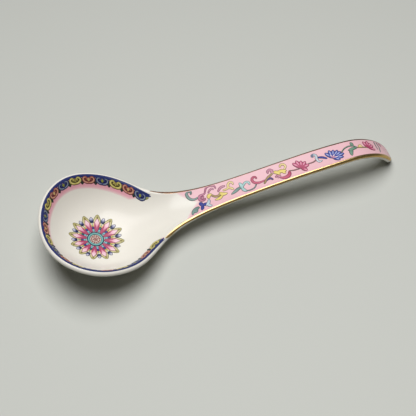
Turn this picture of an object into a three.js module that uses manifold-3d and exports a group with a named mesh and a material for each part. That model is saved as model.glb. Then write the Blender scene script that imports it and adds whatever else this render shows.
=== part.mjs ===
// Bone china spoon: a round bowl and a slender handle fired in one piece, which lies on a flat
// ground under the bowl and on the curled tip of its handle. Its traditional decoration lies on the
// glaze in separate coats: a cobalt line and cloud heads round the lip, a lotus rosette in the
// bowl, flowers on a pink ground along the handle, and a gilt line round the handle's edge.
// Millimetres, +Z up. The handle points along +X and the table is Z = 0.

import * as THREE from 'three';
import { mergeVertices } from 'three/addons/utils/BufferGeometryUtils.js';
import Module from 'manifold-3d';

// Plan of the bowl, inside the lip, from its widest place
const BOWL_FRONT = 28.4;
const BOWL_REAR = 34.1;
const BOWL_HALF_WIDTH = 31.9;
const FLOOR_CENTRE = -3.5;

// Plan of the neck and the handle's top, in lengths measured along the handle
const NECK_LEAVES_BOWL = 20.1;
const NECK_SWEEP = 19.4;
const NECK_END = 87;
const NECK_RUN_OUT = 51.7;
const HANDLE_HALF_WIDTH = 6.05;
const HANDLE_WAIST_PULL = 0.75;
const HANDLE_PALM_SWELL = 0.55;
const TIP_HALF_WIDTH = 3.6;
const TIP_ROUNDING = 10;

// Side view: heights of the edge above the table
const LIP_HEIGHT = 25.7;
const LIP_FRONT_SLOPE = 0.2;
const NECK = 39;
const NECK_HEIGHT = 12.5;
const NECK_SLOPE = 0.04;
const CREST = 150.4;
const CREST_HEIGHT = 22.2;
const CURL_RADIUS = 32.1;

// Hollow of the bowl and of the channel that runs out of it along the handle
const CHANNEL_REACH = 33;
const HANDLE_HOLLOW = 0.35;
const BOWL_FULLNESS = 2.75;
const HANDLE_FULLNESS = 2;

// Thickness of the china
const LIP_THICKNESS = 3.05;
const FLOOR_THICKNESS = 3.8;
const HANDLE_THICKNESS = 4.4;
const HANDLE_EDGE = 2.5;
const TIP_EDGE = 3.6;
const TIP_THICKNESS = 3.6;
const GROUND_FOOT = 0.6;
const WALL_TAPER = 3;

// Coats of colour and gold on the glaze
const SEAT = 0.18;
const COAT = 0.25;
const BORDER_BEFORE_NECK = 2.95;
const BORDER_RISE = 1.45;
const BORDER_ROOT_SINK = 2.25;
const BORDER_ROOT_LENGTH = 16.5;
const COBALT_WIDTH = 1.7;
const HEAD_COUNT = 21;
const HEAD_WIDTH = 6.6;
const HEAD_DEPTH = 4.2;
const HEAD_GAP = 0.35;
const FIRST_HEAD = 0.0345;
const LAST_HEAD = 0.9463;
const HEAD_CROWDING = 0.053;
const BLUSH_GAP = 0.4;
const BLUSH_DEPTH = 2.6;
const PETAL_COUNT = 12;
const ROSETTE_RADIUS = 15.5;
const PETAL_SCALLOP = 2;
const RING_RADIUS = 5;
const RING_WIDTH = 1.6;
const ROSETTE_GAP = 0.4;
const GROUND_START = 9.4;
const GROUND_NOTCH = 8.5;
const GROUND_REACH = 0.94;
const GILT_AFTER_BORDER = 0.4;
const GILT_TURN = THREE.MathUtils.degToRad(55);

// Fineness of the mesh
const PIECE_STEPS = [12, 6, 10, 24, 8];
const TOP_STEPS = 10;
const EDGE_STEPS = 4;
const BAND_STEPS = 2;

const clamp = THREE.MathUtils.clamp;
const smooth = (f) => THREE.MathUtils.smoothstep(f, 0, 1);
const mix = THREE.MathUtils.lerp;
const coat = (color, roughness = 0.3, metalness = 0) =>
  new THREE.MeshStandardMaterial({ color, roughness, metalness });

// Side view. A curve whose ends have given places and slopes, with X even along it.
function easedLine(x0, z0, slope0, x1, z1, slope1) {
  const third = (x1 - x0) / 3;
  return new THREE.CubicBezierCurve(
    new THREE.Vector2(x0, z0), new THREE.Vector2(x0 + third, z0 + slope0 * third),
    new THREE.Vector2(x1 - third, z1 - slope1 * third), new THREE.Vector2(x1, z1));
}

const rimLine = easedLine(-BOWL_FRONT, LIP_HEIGHT, LIP_FRONT_SLOPE, NECK, NECK_HEIGHT, NECK_SLOPE);
const handleLine = easedLine(NECK, NECK_HEIGHT, NECK_SLOPE, CREST, CREST_HEIGHT, 0);
const handleLength = handleLine.getLength();
const crestRun = NECK + handleLength;

// The curl turns down from the crest until the rounded end of the handle meets the table.
const halfEdge = TIP_EDGE / 2;
const curlTurn = Math.acos((CURL_RADIUS + halfEdge - CREST_HEIGHT) / (CURL_RADIUS - halfEdge));
const tipRun = crestRun + CURL_RADIUS * curlTurn;
const tipCentre = tipRun - TIP_ROUNDING;

// The edge line of the spoon in side view, at a run: X in the bowl, then length along the handle.
function edgeLine(run) {
  if (run <= NECK) {
    const f = (run + BOWL_FRONT) / (NECK + BOWL_FRONT);
    const p = rimLine.getPoint(f);
    const d = rimLine.getTangent(clamp(f, 0, 1));
    return { x: p.x, z: p.y, slope: Math.atan2(d.y, d.x) };
  }
  if (run <= crestRun) {
    const f = (run - NECK) / handleLength;
    const p = handleLine.getPointAt(f);
    const d = handleLine.getTangentAt(f);
    return { x: p.x, z: p.y, slope: Math.atan2(d.y, d.x) };
  }
  const turn = (run - crestRun) / CURL_RADIUS;
  const drop = CURL_RADIUS * (1 - Math.cos(turn));
  return { x: CREST + CURL_RADIUS * Math.sin(turn), z: CREST_HEIGHT - drop, slope: -turn };
}

// The hollow is deepest at the bowl's floor and dies out along the handle. Its depth leaves the
// floor so thick that a shallow flat can be ground under it, level with the table.
const hollowShape = (run) => Math.exp(-(((run - FLOOR_CENTRE) / CHANNEL_REACH) ** 2));
const floorTop = FLOOR_THICKNESS - GROUND_FOOT;
const FLOOR_SEARCH = 200;
let bowlDepth = Infinity;
let footX = FLOOR_CENTRE;
for (let k = 0; k <= FLOOR_SEARCH; k += 1) {
  const run = mix(FLOOR_CENTRE, NECK, k / FLOOR_SEARCH);
  const depth = (edgeLine(run).z - HANDLE_HOLLOW - floorTop) / hollowShape(run);
  if (depth < bowlDepth) {
    bowlDepth = depth;
    footX = run;
  }
}
const hollow = (run) => bowlDepth * hollowShape(run) + HANDLE_HOLLOW;

// Sections stand upright in the bowl and lean with the handle behind the neck.
const lean = (run) => edgeLine(run).slope * smooth((run - NECK) / (NECK_END - NECK));

function keel(run) {
  const edge = edgeLine(run);
  const tilt = lean(run);
  return new THREE.Vector2(edge.x + hollow(run) * Math.sin(tilt), edge.z - hollow(run) * Math.cos(tilt));
}

// Plan of the top: an oval bowl, a swept neck, a slightly waisted handle and a rounded tip.
const rearAngle = Math.acos(NECK_LEAVES_BOWL / BOWL_REAR);
const bowlEnd = new THREE.Vector2(NECK_LEAVES_BOWL, BOWL_HALF_WIDTH * Math.sin(rearAngle));
const bowlWay = new THREE.Vector2(BOWL_REAR * Math.sin(rearAngle), -BOWL_HALF_WIDTH * Math.cos(rearAngle));
bowlWay.normalize();
const neckEnd = new THREE.Vector2(NECK_END, HANDLE_HALF_WIDTH);
const handleThird = (tipCentre - NECK_END) / 3;
const tipStart = new THREE.Vector2(tipCentre, TIP_HALF_WIDTH);
const TIP_SQUARENESS = 0.57;

const halfPlan = new THREE.CurvePath();
halfPlan.add(new THREE.EllipseCurve(0, 0, BOWL_FRONT, BOWL_HALF_WIDTH, Math.PI, Math.PI / 2, true));
halfPlan.add(new THREE.EllipseCurve(0, 0, BOWL_REAR, BOWL_HALF_WIDTH, Math.PI / 2, rearAngle, true));
halfPlan.add(new THREE.CubicBezierCurve(
  bowlEnd, bowlEnd.clone().addScaledVector(bowlWay, NECK_SWEEP),
  new THREE.Vector2(NECK_END - NECK_RUN_OUT, HANDLE_HALF_WIDTH + HANDLE_WAIST_PULL), neckEnd));
halfPlan.add(new THREE.CubicBezierCurve(
  neckEnd, new THREE.Vector2(NECK_END + handleThird, HANDLE_HALF_WIDTH - HANDLE_WAIST_PULL),
  new THREE.Vector2(tipCentre - handleThird, HANDLE_HALF_WIDTH + HANDLE_PALM_SWELL), tipStart));
halfPlan.add(new THREE.CubicBezierCurve(
  tipStart, new THREE.Vector2(mix(tipCentre, tipRun, TIP_SQUARENESS), TIP_HALF_WIDTH),
  new THREE.Vector2(tipRun, TIP_HALF_WIDTH * TIP_SQUARENESS), new THREE.Vector2(tipRun, 0)));
const planLengths = halfPlan.getCurveLengths();
const planLength = halfPlan.getLength();

// Where the section that ends at a run of the edge starts on the keel: all sections round the
// front of the bowl start at its floor's centre, and those round the tip at the tip's centre.
function keelRun(run) {
  if (run >= NECK_END) return Math.min(run, tipCentre);
  const f = clamp((run - FLOOR_CENTRE) / (NECK_END - FLOOR_CENTRE), 0, 1);
  return FLOOR_CENTRE + (NECK_END - FLOOR_CENTRE) * f * f * (2 - f);
}

// One section of the top. t goes along the edge from the front of the lip, 0, to the tip, 1, and
// past it; on the -Y side it is negative.
const KEEL_STEP = 0.01;
const sections = new Map();
function section(t) {
  if (sections.has(t)) return sections.get(t);
  const wrapped = Math.abs(t) > 1 ? t - 2 * Math.sign(t) : t;
  const flat = halfPlan.getPoint(Math.abs(wrapped));
  const start = keelRun(flat.x);
  const foot = keel(start);
  const along = keel(start + KEEL_STEP).sub(keel(start - KEEL_STEP)).normalize();
  const tilt = lean(start);
  const up = new THREE.Vector2(-Math.sin(tilt), Math.cos(tilt));
  const edge = edgeLine(flat.x);
  const reach = new THREE.Vector2(edge.x, edge.z).sub(foot);
  const turn = along.cross(up);
  const found = {
    foot, along, up,
    side: wrapped < 0 ? -1 : 1,
    run: flat.x, start, half: flat.y,
    forward: reach.cross(up) / turn,
    rise: along.cross(reach) / turn,
    fullness: mix(HANDLE_FULLNESS, BOWL_FULLNESS, hollowShape(start)),
  };
  sections.set(t, found);
  return found;
}

// A point of the top surface, v = 0 on the keel and 1 on the edge
function topPoint(t, v) {
  const q = section(t);
  const rise = q.rise * v ** q.fullness;
  const p = q.foot.clone().addScaledVector(q.along, v * q.forward).addScaledVector(q.up, rise);
  return new THREE.Vector3(p.x, q.side * v * q.half, p.y);
}

const SLOPE_STEP = 1e-3;
function topNormal(t, v) {
  const q = section(t);
  const upright = new THREE.Vector3(-q.along.y, 0, q.along.x);
  if (v < 2 * SLOPE_STEP) return upright;
  const across = topPoint(t, v).sub(topPoint(t, v - SLOPE_STEP));
  const along = topPoint(t + SLOPE_STEP, v).sub(topPoint(t - SLOPE_STEP, v));
  const normal = along.cross(across).normalize();
  return normal.dot(upright) < 0 ? normal.negate() : normal;
}

// Thickness: the edge is thinner than the floor, and the back of the handle is thickest
function wall(t, v) {
  const { run, start } = section(t);
  const handle = mix(HANDLE_EDGE, TIP_EDGE, smooth((run - NECK_END) / (tipCentre - NECK_END)));
  const edge = mix(LIP_THICKNESS, handle, smooth((run - NECK_LEAVES_BOWL) / (NECK_END - NECK_LEAVES_BOWL)));
  const back = mix(HANDLE_THICKNESS, TIP_THICKNESS, smooth((start - NECK_END) / (tipCentre - NECK_END)));
  const spine = mix(FLOOR_THICKNESS, back, smooth((start - footX) / (NECK_END - footX)));
  return mix(spine, edge, v ** WALL_TAPER);
}

const liftedPoint = (t, v, lift) => topPoint(t, v).addScaledVector(topNormal(t, v), lift);

// A point on the rounded edge: turn 0 is on the top, a half turn is on the underside
function edgePoint(t, turn, lift) {
  const normal = topNormal(t, 1);
  const along = topPoint(t + SLOPE_STEP, 1).sub(topPoint(t - SLOPE_STEP, 1)).normalize();
  const out = along.cross(normal);
  if (out.dot(topPoint(t, 1).sub(topPoint(t, 1 - SLOPE_STEP))) < 0) out.negate();
  const half = wall(t, 1) / 2;
  return topPoint(t, 1).addScaledVector(normal, -half)
    .addScaledVector(normal, (half + lift) * Math.cos(turn))
    .addScaledVector(out, (half + lift) * Math.sin(turn));
}

// Closed solids from rows of points. Corners that fall together are welded and empty faces dropped.
const WELD = 1e-4;
function solid(points, faces) {
  let geometry = new THREE.BufferGeometry().setFromPoints(points);
  geometry.setIndex(faces.flat());
  geometry = mergeVertices(geometry, WELD);
  const at = (k) => new THREE.Vector3().fromBufferAttribute(geometry.attributes.position, k);
  const index = [...geometry.index.array];
  let kept = [];
  let volume = 0;
  for (let k = 0; k < index.length; k += 3) {
    const [a, b, c] = index.slice(k, k + 3);
    if (a === b || b === c || c === a) continue;
    kept.push([a, b, c]);
    volume += at(a).dot(at(b).cross(at(c)));
  }
  if (volume < 0) kept = kept.map(([a, b, c]) => [a, c, b]);
  geometry.setIndex(kept.flat());
  return geometry;
}

// A sheet of rows laid over another, closed along its border; rows that come round again need no ends
function sheet(upper, lower, round = false) {
  const rows = upper.length;
  const columns = upper[0].length;
  const half = rows * columns;
  const faces = [];
  const quad = (a, b, c, d) => faces.push([a, b, c], [a, c, d]);
  const id = (i, j) => i * columns + j;
  for (let i = 0; i + 1 < rows; i += 1) {
    for (let j = 0; j + 1 < columns; j += 1) {
      quad(id(i, j), id(i + 1, j), id(i + 1, j + 1), id(i, j + 1));
      quad(half + id(i, j), half + id(i, j + 1), half + id(i + 1, j + 1), half + id(i + 1, j));
    }
  }
  for (let i = 0; i + 1 < rows; i += 1) {
    quad(id(i, 0), half + id(i, 0), half + id(i + 1, 0), id(i + 1, 0));
    quad(id(i + 1, columns - 1), half + id(i + 1, columns - 1), half + id(i, columns - 1), id(i, columns - 1));
  }
  for (let j = 0; !round && j + 1 < columns; j += 1) {
    quad(id(0, j + 1), half + id(0, j + 1), half + id(0, j), id(0, j));
    quad(id(rows - 1, j), half + id(rows - 1, j), half + id(rows - 1, j + 1), id(rows - 1, j + 1));
  }
  return solid([...upper.flat(), ...lower.flat()], faces);
}

// A flat outline laid on a surface by place(point, lift)
function patch(outline, place, seat) {
  const count = outline.length;
  const faces = [];
  for (const [a, b, c] of THREE.ShapeUtils.triangulateShape(outline, [])) {
    faces.push([a, b, c], [count + a, count + c, count + b]);
  }
  for (let a = 0; a < count; a += 1) {
    const b = (a + 1) % count;
    faces.push([a, count + a, count + b], [a, count + b, b]);
  }
  const points = [seat + COAT, seat].flatMap((lift) => outline.map((point) => place(point, lift)));
  return solid(points, faces);
}

const spoon = new THREE.Group();
function add(name, geometry, material) {
  const mesh = new THREE.Mesh(geometry, material);
  mesh.name = name;
  spoon.add(mesh);
}

// The stations of half the edge, front to tip
const stations = [0];
PIECE_STEPS.forEach((steps, piece) => {
  const from = piece === 0 ? 0 : planLengths[piece - 1];
  for (let k = 1; k <= steps; k += 1) stations.push(mix(from, planLengths[piece], k / steps) / planLength);
});
const TABLE_STEPS = 1000;
const runTable = Array.from({ length: TABLE_STEPS + 1 }, (_, k) => halfPlan.getPoint(k / TABLE_STEPS).x);
function stationAt(run) {
  let low = 0;
  let high = TABLE_STEPS;
  while (high - low > 1) {
    const middle = Math.floor((low + high) / 2);
    if (runTable[middle] < run) low = middle;
    else high = middle;
  }
  return (low + (run - runTable[low]) / (runTable[high] - runTable[low])) / TABLE_STEPS;
}

// China body: every section runs from the keel up to the edge, round it and back underneath. The
// foot is ground off level with the table.
const china = coat(0xece8dd, 0.12);
{
  const rounds = [...stations, ...stations.slice(1, -1).reverse().map((t) => -t)];
  const rows = [...rounds, rounds[0]].map((t) => {
    const row = [];
    for (let j = 0; j <= TOP_STEPS; j += 1) row.push(topPoint(t, j / TOP_STEPS));
    for (let j = 1; j < EDGE_STEPS; j += 1) row.push(edgePoint(t, Math.PI * j / EDGE_STEPS, 0));
    for (let j = TOP_STEPS; j >= 0; j -= 1) {
      const v = j / TOP_STEPS;
      row.push(liftedPoint(t, v, -wall(t, v)));
    }
    return row;
  });
  const columns = rows[0].length;
  const faces = [];
  for (let i = 0; i + 1 < rows.length; i += 1) {
    for (let j = 0; j + 1 < columns; j += 1) {
      const a = i * columns + j;
      faces.push([a, a + columns, a + columns + 1], [a, a + columns + 1, a + 1]);
    }
  }
  const blank = solid(rows.flat(), faces);
  const wasm = await Module();
  wasm.setup();
  const toManifold = (geometry) => new wasm.Manifold(new wasm.Mesh({
    numProp: 3,
    vertProperties: new Float32Array(geometry.attributes.position.array),
    triVerts: new Uint32Array(geometry.index.array),
  }));
  const length = tipRun + BOWL_FRONT;
  const table = new THREE.BoxGeometry(2 * length, 2 * length, LIP_HEIGHT);
  table.translate(0, 0, -LIP_HEIGHT / 2);
  table.deleteAttribute('normal');
  table.deleteAttribute('uv');
  const ground = toManifold(blank).subtract(toManifold(mergeVertices(table))).getMesh();
  const body = new THREE.BufferGeometry();
  body.setAttribute('position', new THREE.BufferAttribute(ground.vertProperties, 3));
  body.setIndex(new THREE.BufferAttribute(ground.triVerts, 1));
  add('china_body', body, china);
}

// The border is measured down the wall of the bowl, and above the wall round the lip. Its top lies on
// the lip and sinks into the bowl towards its roots.
const borderEnd = stationAt(NECK - BORDER_BEFORE_NECK);
const WALL_STEPS = 60;
function downWall(t, depth) {
  let gone = 0;
  for (let k = WALL_STEPS; k > 0; k -= 1) {
    const step = topPoint(t, k / WALL_STEPS).distanceTo(topPoint(t, (k - 1) / WALL_STEPS));
    if (gone + step >= depth) return (k - (depth - gone) / step) / WALL_STEPS;
    gone += step;
  }
  return 0;
}
const borderLength = borderEnd * planLength;
function borderTop(t) {
  const gone = (Math.abs(t) * planLength - borderLength) / BORDER_ROOT_LENGTH + 1;
  return BORDER_ROOT_SINK * clamp(gone, 0, 1) ** 2 - BORDER_RISE;
}
function onBorder(t, below, lift) {
  const depth = borderTop(t) + below;
  if (depth < 0) return edgePoint(t, -depth / (wall(t, 1) / 2), lift);
  return liftedPoint(t, downWall(t, depth), lift);
}

const borderStations = [...stations.filter((t) => t < borderEnd), borderEnd];
const borderRound = [...borderStations.slice(1).reverse().map((t) => -t), ...borderStations];
function wallBand(top, foot) {
  const rows = (lift) => borderRound.map((t) => {
    const row = [];
    for (let j = 0; j <= BAND_STEPS; j += 1) row.push(onBorder(t, mix(top, foot, j / BAND_STEPS), lift));
    return row;
  });
  return sheet(rows(SEAT + COAT), rows(SEAT));
}

// Cobalt line on the inner round of the lip
add('cobalt_rim_line', wallBand(0, COBALT_WIDTH), coat(0x1d2c72));

// Cloud heads hang in a row below the line, in turn blue, red and yellow from the +Y root of the
// border to the other. Each has two upper lobes and a longer one that points down the wall.
const headTop = COBALT_WIDTH + HEAD_GAP;
const headColours = [0x35549b, 0xa63f44, 0xd3ad49];
const HEAD_POINTS = 18;
const HEAD_LOBES = 0.16;
const headOutline = [];
for (let k = 0; k < HEAD_POINTS; k += 1) {
  const angle = 2 * Math.PI * k / HEAD_POINTS;
  const reach = (1 + HEAD_LOBES * Math.cos(3 * (angle - Math.PI / 2))) / (1 + HEAD_LOBES);
  headOutline.push(new THREE.Vector2(
    HEAD_WIDTH / 2 * reach * Math.cos(angle), headTop + HEAD_DEPTH / 2 * (1 + reach * Math.sin(angle))));
}
for (let k = 0; k < HEAD_COUNT; k += 1) {
  const share = k / (HEAD_COUNT - 1);
  const along = mix(FIRST_HEAD, LAST_HEAD, share) - HEAD_CROWDING * share * (1 - share);
  const centre = mix(borderEnd, -borderEnd, along);
  const place = (p, lift) => onBorder(centre + p.x / planLength, p.y, lift);
  const number = String(k + 1).padStart(2, '0');
  add(`cloud_head_${number}`, patch(headOutline, place, SEAT), coat(headColours[k % headColours.length]));
}

// Pink blush below the heads
const blushTop = headTop + HEAD_DEPTH + BLUSH_GAP;
add('border_blush', wallBand(blushTop, blushTop + BLUSH_DEPTH), coat(0xeac3c4));

// Lotus rosette on the floor of the bowl. Its places are found on the surface by plan position.
const NEWTON_ROUNDS = 20;
const NEWTON_STEP = 1e-4;
const FIRST_GUESS = 0.02;
function onFloor(p, lift) {
  const aim = new THREE.Vector2(keel(FLOOR_CENTRE).x + p.x, p.y);
  const side = p.y < 0 ? -1 : 1;
  const square = Math.atan2(Math.abs(p.y), -p.x) / Math.PI;
  let t = mix(FIRST_GUESS, borderEnd, square);
  let v = p.length() / BOWL_HALF_WIDTH;
  if (v < NEWTON_STEP) return liftedPoint(0, 0, lift);
  for (let k = 0; k < NEWTON_ROUNDS; k += 1) {
    const at = topPoint(t, v);
    const byT = topPoint(t + NEWTON_STEP, v).sub(at).divideScalar(NEWTON_STEP);
    const byV = topPoint(t, v + NEWTON_STEP).sub(at).divideScalar(NEWTON_STEP);
    const off = new THREE.Vector2(aim.x - at.x, Math.abs(aim.y) - at.y);
    const turn = byT.x * byV.y - byT.y * byV.x;
    t = clamp(t + (off.x * byV.y - off.y * byV.x) / turn, NEWTON_STEP, 1);
    v = clamp(v + (byT.x * off.y - byT.y * off.x) / turn, NEWTON_STEP, 1);
  }
  return liftedPoint(side * t, v, lift);
}
const ROUND_STEPS = 4 * PETAL_COUNT;
const PETAL_STEPS = 3;
function rosetteRing(innerAt, outerAt, steps) {
  const rows = (lift) => Array.from({ length: ROUND_STEPS + 1 }, (_, i) => {
    const angle = 2 * Math.PI * ((i % ROUND_STEPS) + 0.5) / ROUND_STEPS;
    const way = new THREE.Vector2(Math.cos(angle), Math.sin(angle));
    return Array.from({ length: steps + 1 }, (_, j) => {
      const radius = mix(innerAt(angle), outerAt(angle), j / steps);
      return onFloor(way.clone().multiplyScalar(radius), lift);
    });
  });
  return sheet(rows(SEAT + COAT), rows(SEAT), true);
}
const petalReach = (angle) => ROSETTE_RADIUS - PETAL_SCALLOP * (1 - Math.cos(PETAL_COUNT * angle)) / 2;
const seedRadius = RING_RADIUS - RING_WIDTH;
const petals = rosetteRing(() => RING_RADIUS + ROSETTE_GAP, petalReach, PETAL_STEPS);
add('rosette_petals', petals, coat(0xd98aa0));
add('rosette_ring', rosetteRing(() => seedRadius, () => RING_RADIUS, 1), coat(0x5fa9ab));
add('rosette_seed_head', rosetteRing(() => 0, () => seedRadius - ROSETTE_GAP, 1), coat(0xa57a78));

// Places on the handle: length along it, and distance to the +Y side of its middle. Near the neck a
// section starts closer to the bowl than it ends, so the one that passes through a place is searched.
const PLACE_ROUNDS = 12;
function stationThrough(place, shareAt) {
  let run = place;
  for (let k = 0; k < PLACE_ROUNDS; k += 1) run = place + (1 - shareAt(run)) * (run - keelRun(run));
  return stationAt(run);
}
function onHandle(place, across, lift) {
  const shareAt = (run) => Math.min(Math.abs(across) / section(stationAt(run)).half, 1);
  const t = stationThrough(place, shareAt);
  return liftedPoint(across < 0 ? -t : t, Math.abs(across) / section(t).half, lift);
}

// Pink ground: a strip with a swallow-tailed start that follows the handle's edge to the tip
{
  const ACROSS_STEPS = 8;
  const ALONG_STEPS = 44;
  const end = stationAt(tipCentre + TIP_ROUNDING / 2);
  const shares = Array.from({ length: ACROSS_STEPS + 1 }, (_, j) => 2 * j / ACROSS_STEPS - 1);
  const starts = shares.map((share) => {
    const from = NECK + GROUND_START + GROUND_NOTCH * (1 - Math.abs(share));
    return stationThrough(from, () => Math.abs(share) * GROUND_REACH);
  });
  const rows = (lift) => Array.from({ length: ALONG_STEPS + 1 }, (_, i) => shares.map((share, j) => {
    const t = mix(starts[j], end, i / ALONG_STEPS);
    return liftedPoint(share < 0 ? -t : t, Math.abs(share) * GROUND_REACH, lift);
  }));
  add('handle_pink_ground', sheet(rows(SEAT + COAT), rows(SEAT)), coat(0xecc9ca));
}

// Flowers and leaves of the lotus scroll, from the bowl to the tip: name, place behind the neck,
// distance across, length, width, lobes, depth of the lobes, colour
const scroll = [
  ['leaf_green_root', 17, -5.3, 5.6, 2.6, 2, 0.2, 0x7f9a92],
  ['scroll_plum', 26, 4, 10, 3.6, 3, 0.3, 0x8d4a6c],
  ['trefoil_blue', 22, -3.4, 4, 3.6, 3, 0.3, 0x2f4796],
  ['blossom_yellow_root', 32, -0.8, 10, 3.6, 4, 0.28, 0xd9bd5a],
  ['leaf_aqua', 47, -0.8, 9, 4.4, 3, 0.3, 0x9cc8c6],
  ['scroll_crimson', 58.8, -0.3, 10.4, 4.2, 4, 0.3, 0xa83a5a],
  ['blossom_yellow', 70.8, 0, 8.6, 5, 4, 0.28, 0xd8ba55],
  ['lotus_crimson', 83.2, -0.4, 9, 6, 5, 0.25, 0xb53d60],
  ['lotus_blue', 103.8, -0.5, 10.6, 6.4, 5, 0.25, 0x2e4597],
  ['leaf_green', 115, 0, 6.4, 5, 3, 0.3, 0x6f958c],
  ['lotus_crimson_tip', 127, 1.2, 7.6, 5.4, 5, 0.25, 0xb53d60],
];
const MOTIF_POINTS = 24;
const motifSeat = 2 * SEAT + COAT;
for (const [name, place, across, length, width, lobes, depth, colour] of scroll) {
  const outline = Array.from({ length: MOTIF_POINTS }, (_, k) => {
    const angle = 2 * Math.PI * k / MOTIF_POINTS;
    const reach = (1 + depth * Math.cos(lobes * angle)) / (1 + depth);
    return new THREE.Vector2(length / 2 * reach * Math.cos(angle), width / 2 * reach * Math.sin(angle));
  });
  const put = (p, lift) => onHandle(NECK + place + p.x, across + p.y, lift);
  add(name, patch(outline, put, motifSeat), coat(colour));
}

// Gilt line on the upper round of the handle's edge, from the border's root round the tip and back
{
  const GILT_STEPS = 3;
  const start = borderEnd + GILT_AFTER_BORDER / planLength;
  const half = [start, ...stations.filter((t) => t > start)];
  const round = [...half, ...half.slice(0, -1).reverse().map((t) => 2 - t)];
  const rows = (lift) => round.map((t) => Array.from(
    { length: GILT_STEPS + 1 }, (_, j) => edgePoint(t, GILT_TURN * j / GILT_STEPS, lift)));
  add('gilt_edge_line', sheet(rows(SEAT + COAT), rows(SEAT)), coat(0xb48d45, 0.25, 1));
}

// The origin is in the middle of the ground foot, on the table.
spoon.position.x = -footX;
export default spoon;
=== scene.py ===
# Bone china spoon with a famille rose decoration, lying on a pale studio floor. Its shape follows
# the solids of the part, and this script gives it its glaze, enamels and gilding.
import math

import bmesh
import bpy
import numpy as np
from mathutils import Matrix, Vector


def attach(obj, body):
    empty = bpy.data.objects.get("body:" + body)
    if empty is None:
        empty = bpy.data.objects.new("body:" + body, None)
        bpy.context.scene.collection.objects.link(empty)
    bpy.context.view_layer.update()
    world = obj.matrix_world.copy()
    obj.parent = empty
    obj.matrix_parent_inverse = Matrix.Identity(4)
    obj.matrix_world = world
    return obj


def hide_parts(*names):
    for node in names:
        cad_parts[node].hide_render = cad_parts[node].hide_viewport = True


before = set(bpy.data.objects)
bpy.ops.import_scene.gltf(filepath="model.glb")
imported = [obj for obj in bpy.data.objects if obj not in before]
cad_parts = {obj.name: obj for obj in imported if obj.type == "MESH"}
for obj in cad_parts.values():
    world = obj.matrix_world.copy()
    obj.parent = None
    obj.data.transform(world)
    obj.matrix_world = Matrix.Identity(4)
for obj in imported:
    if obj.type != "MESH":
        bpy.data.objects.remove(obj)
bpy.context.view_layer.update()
scene = bpy.context.scene
scene.view_settings.view_transform = "Standard"


# Camera. It looks steeply down on the spoon from the side of its near edge, turned a little towards
# the handle, from about 0.6 m away.
VIEW_ELEVATION = math.radians(58)
VIEW_TURN = math.radians(18.895)
VIEW_ANGLE = math.radians(22)
EYE = (-0.04964, -0.30963, 0.52701)

camera = bpy.data.objects.new("camera", bpy.data.cameras.new("camera"))
camera.data.angle = VIEW_ANGLE
camera.location = EYE
camera.rotation_euler = (math.pi / 2 - VIEW_ELEVATION, 0, -VIEW_TURN)
scene.collection.objects.link(camera)
scene.camera = camera


# Floor and light. A sheet of pale grey board lies under the spoon, and one soft box hangs above and a
# little behind it. The board's colour is painted lighter towards the front and darker towards its
# back, a painted falloff of light. The dark room gives an even, dim fill, and its walls show a little
# brighter in the glaze.
FLOOR_SIZE = 4.0
FLOOR_CELLS = 8
FLOOR_GREY = (0.575, 0.585, 0.545, 1)
FLOOR_PAINTED_FALLOFF = (-0.16, 0.2, 1.07, 0.88)
KEY_PLACE = (0.04, 0.115, 0.94)
KEY_AIM = (0.04, -0.35, 0)
KEY_WIDTH = 0.66
KEY_DEPTH = 0.9
KEY_POWER = 10.8
FILL_LIGHT = (0.018, 0.018, 0.017, 1)
ROOM_MIRRORED = (0.11, 0.11, 0.11, 1)
ROOM_SEEN = (0.62, 0.625, 0.60, 1)


def shader(name, **even):
    """A material whose Principled shader has these even values, ready for more nodes."""
    material = bpy.data.materials.new(name)
    material.use_nodes = True
    principled = material.node_tree.nodes["Principled BSDF"]
    for socket, value in even.items():
        principled.inputs[socket.replace("_", " ")].default_value = value
    return material


def node(material, kind, **settings):
    """Adds a node to a material and sets its options and its sockets."""
    made = material.node_tree.nodes.new(kind)
    for name, value in settings.items():
        if name in made.inputs:
            made.inputs[name].default_value = value
        else:
            setattr(made, name, value)
    return made


def link(material, source, target):
    material.node_tree.links.new(source, target)


def noise(material, scale, detail=3.0):
    """A cloudy pattern on the piece's own coordinates."""
    place = node(material, "ShaderNodeTexCoord")
    cloud = node(material, "ShaderNodeTexNoise", Scale=scale, Detail=detail)
    link(material, place.outputs["Object"], cloud.inputs["Vector"])
    return cloud.outputs["Fac"]


def spread(material, source, low, high):
    """Turns a pattern of 0 to 1 into values from low to high."""
    made = node(material, "ShaderNodeMapRange")
    made.inputs["To Min"].default_value = low
    made.inputs["To Max"].default_value = high
    link(material, source, made.inputs["Value"])
    return made.outputs["Result"]


board = shader("floor_board", Base_Color=FLOOR_GREY, Roughness=0.9, Specular_IOR_Level=0.2)
board_tone = node(board, "ShaderNodeMixRGB", blend_type="MULTIPLY", Color1=FLOOR_GREY)
board_place = node(board, "ShaderNodeTexCoord")
board_way = node(board, "ShaderNodeSeparateXYZ")
link(board, board_place.outputs["Object"], board_way.inputs["Vector"])
# Painted falloff of light: the board's colour is multiplied from 1.07 at its front down to 0.88 at its
# back.
board_painted_falloff = node(board, "ShaderNodeMapRange")
for socket, value in zip(("From Min", "From Max", "To Min", "To Max"), FLOOR_PAINTED_FALLOFF):
    board_painted_falloff.inputs[socket].default_value = value
link(board, board_way.outputs["Y"], board_painted_falloff.inputs["Value"])
link(board, board_painted_falloff.outputs["Result"], board_tone.inputs["Color2"])
board_tone.inputs["Fac"].default_value = 1
link(board, board_tone.outputs["Color"], board.node_tree.nodes["Principled BSDF"].inputs["Base Color"])

bm = bmesh.new()
bmesh.ops.create_grid(bm, x_segments=FLOOR_CELLS, y_segments=FLOOR_CELLS, size=FLOOR_SIZE / 2)
floor_mesh = bpy.data.meshes.new("floor")
bm.to_mesh(floor_mesh)
bm.free()
floor = bpy.data.objects.new("floor", floor_mesh)
floor_mesh.materials.append(board)
scene.collection.objects.link(floor)

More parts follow.
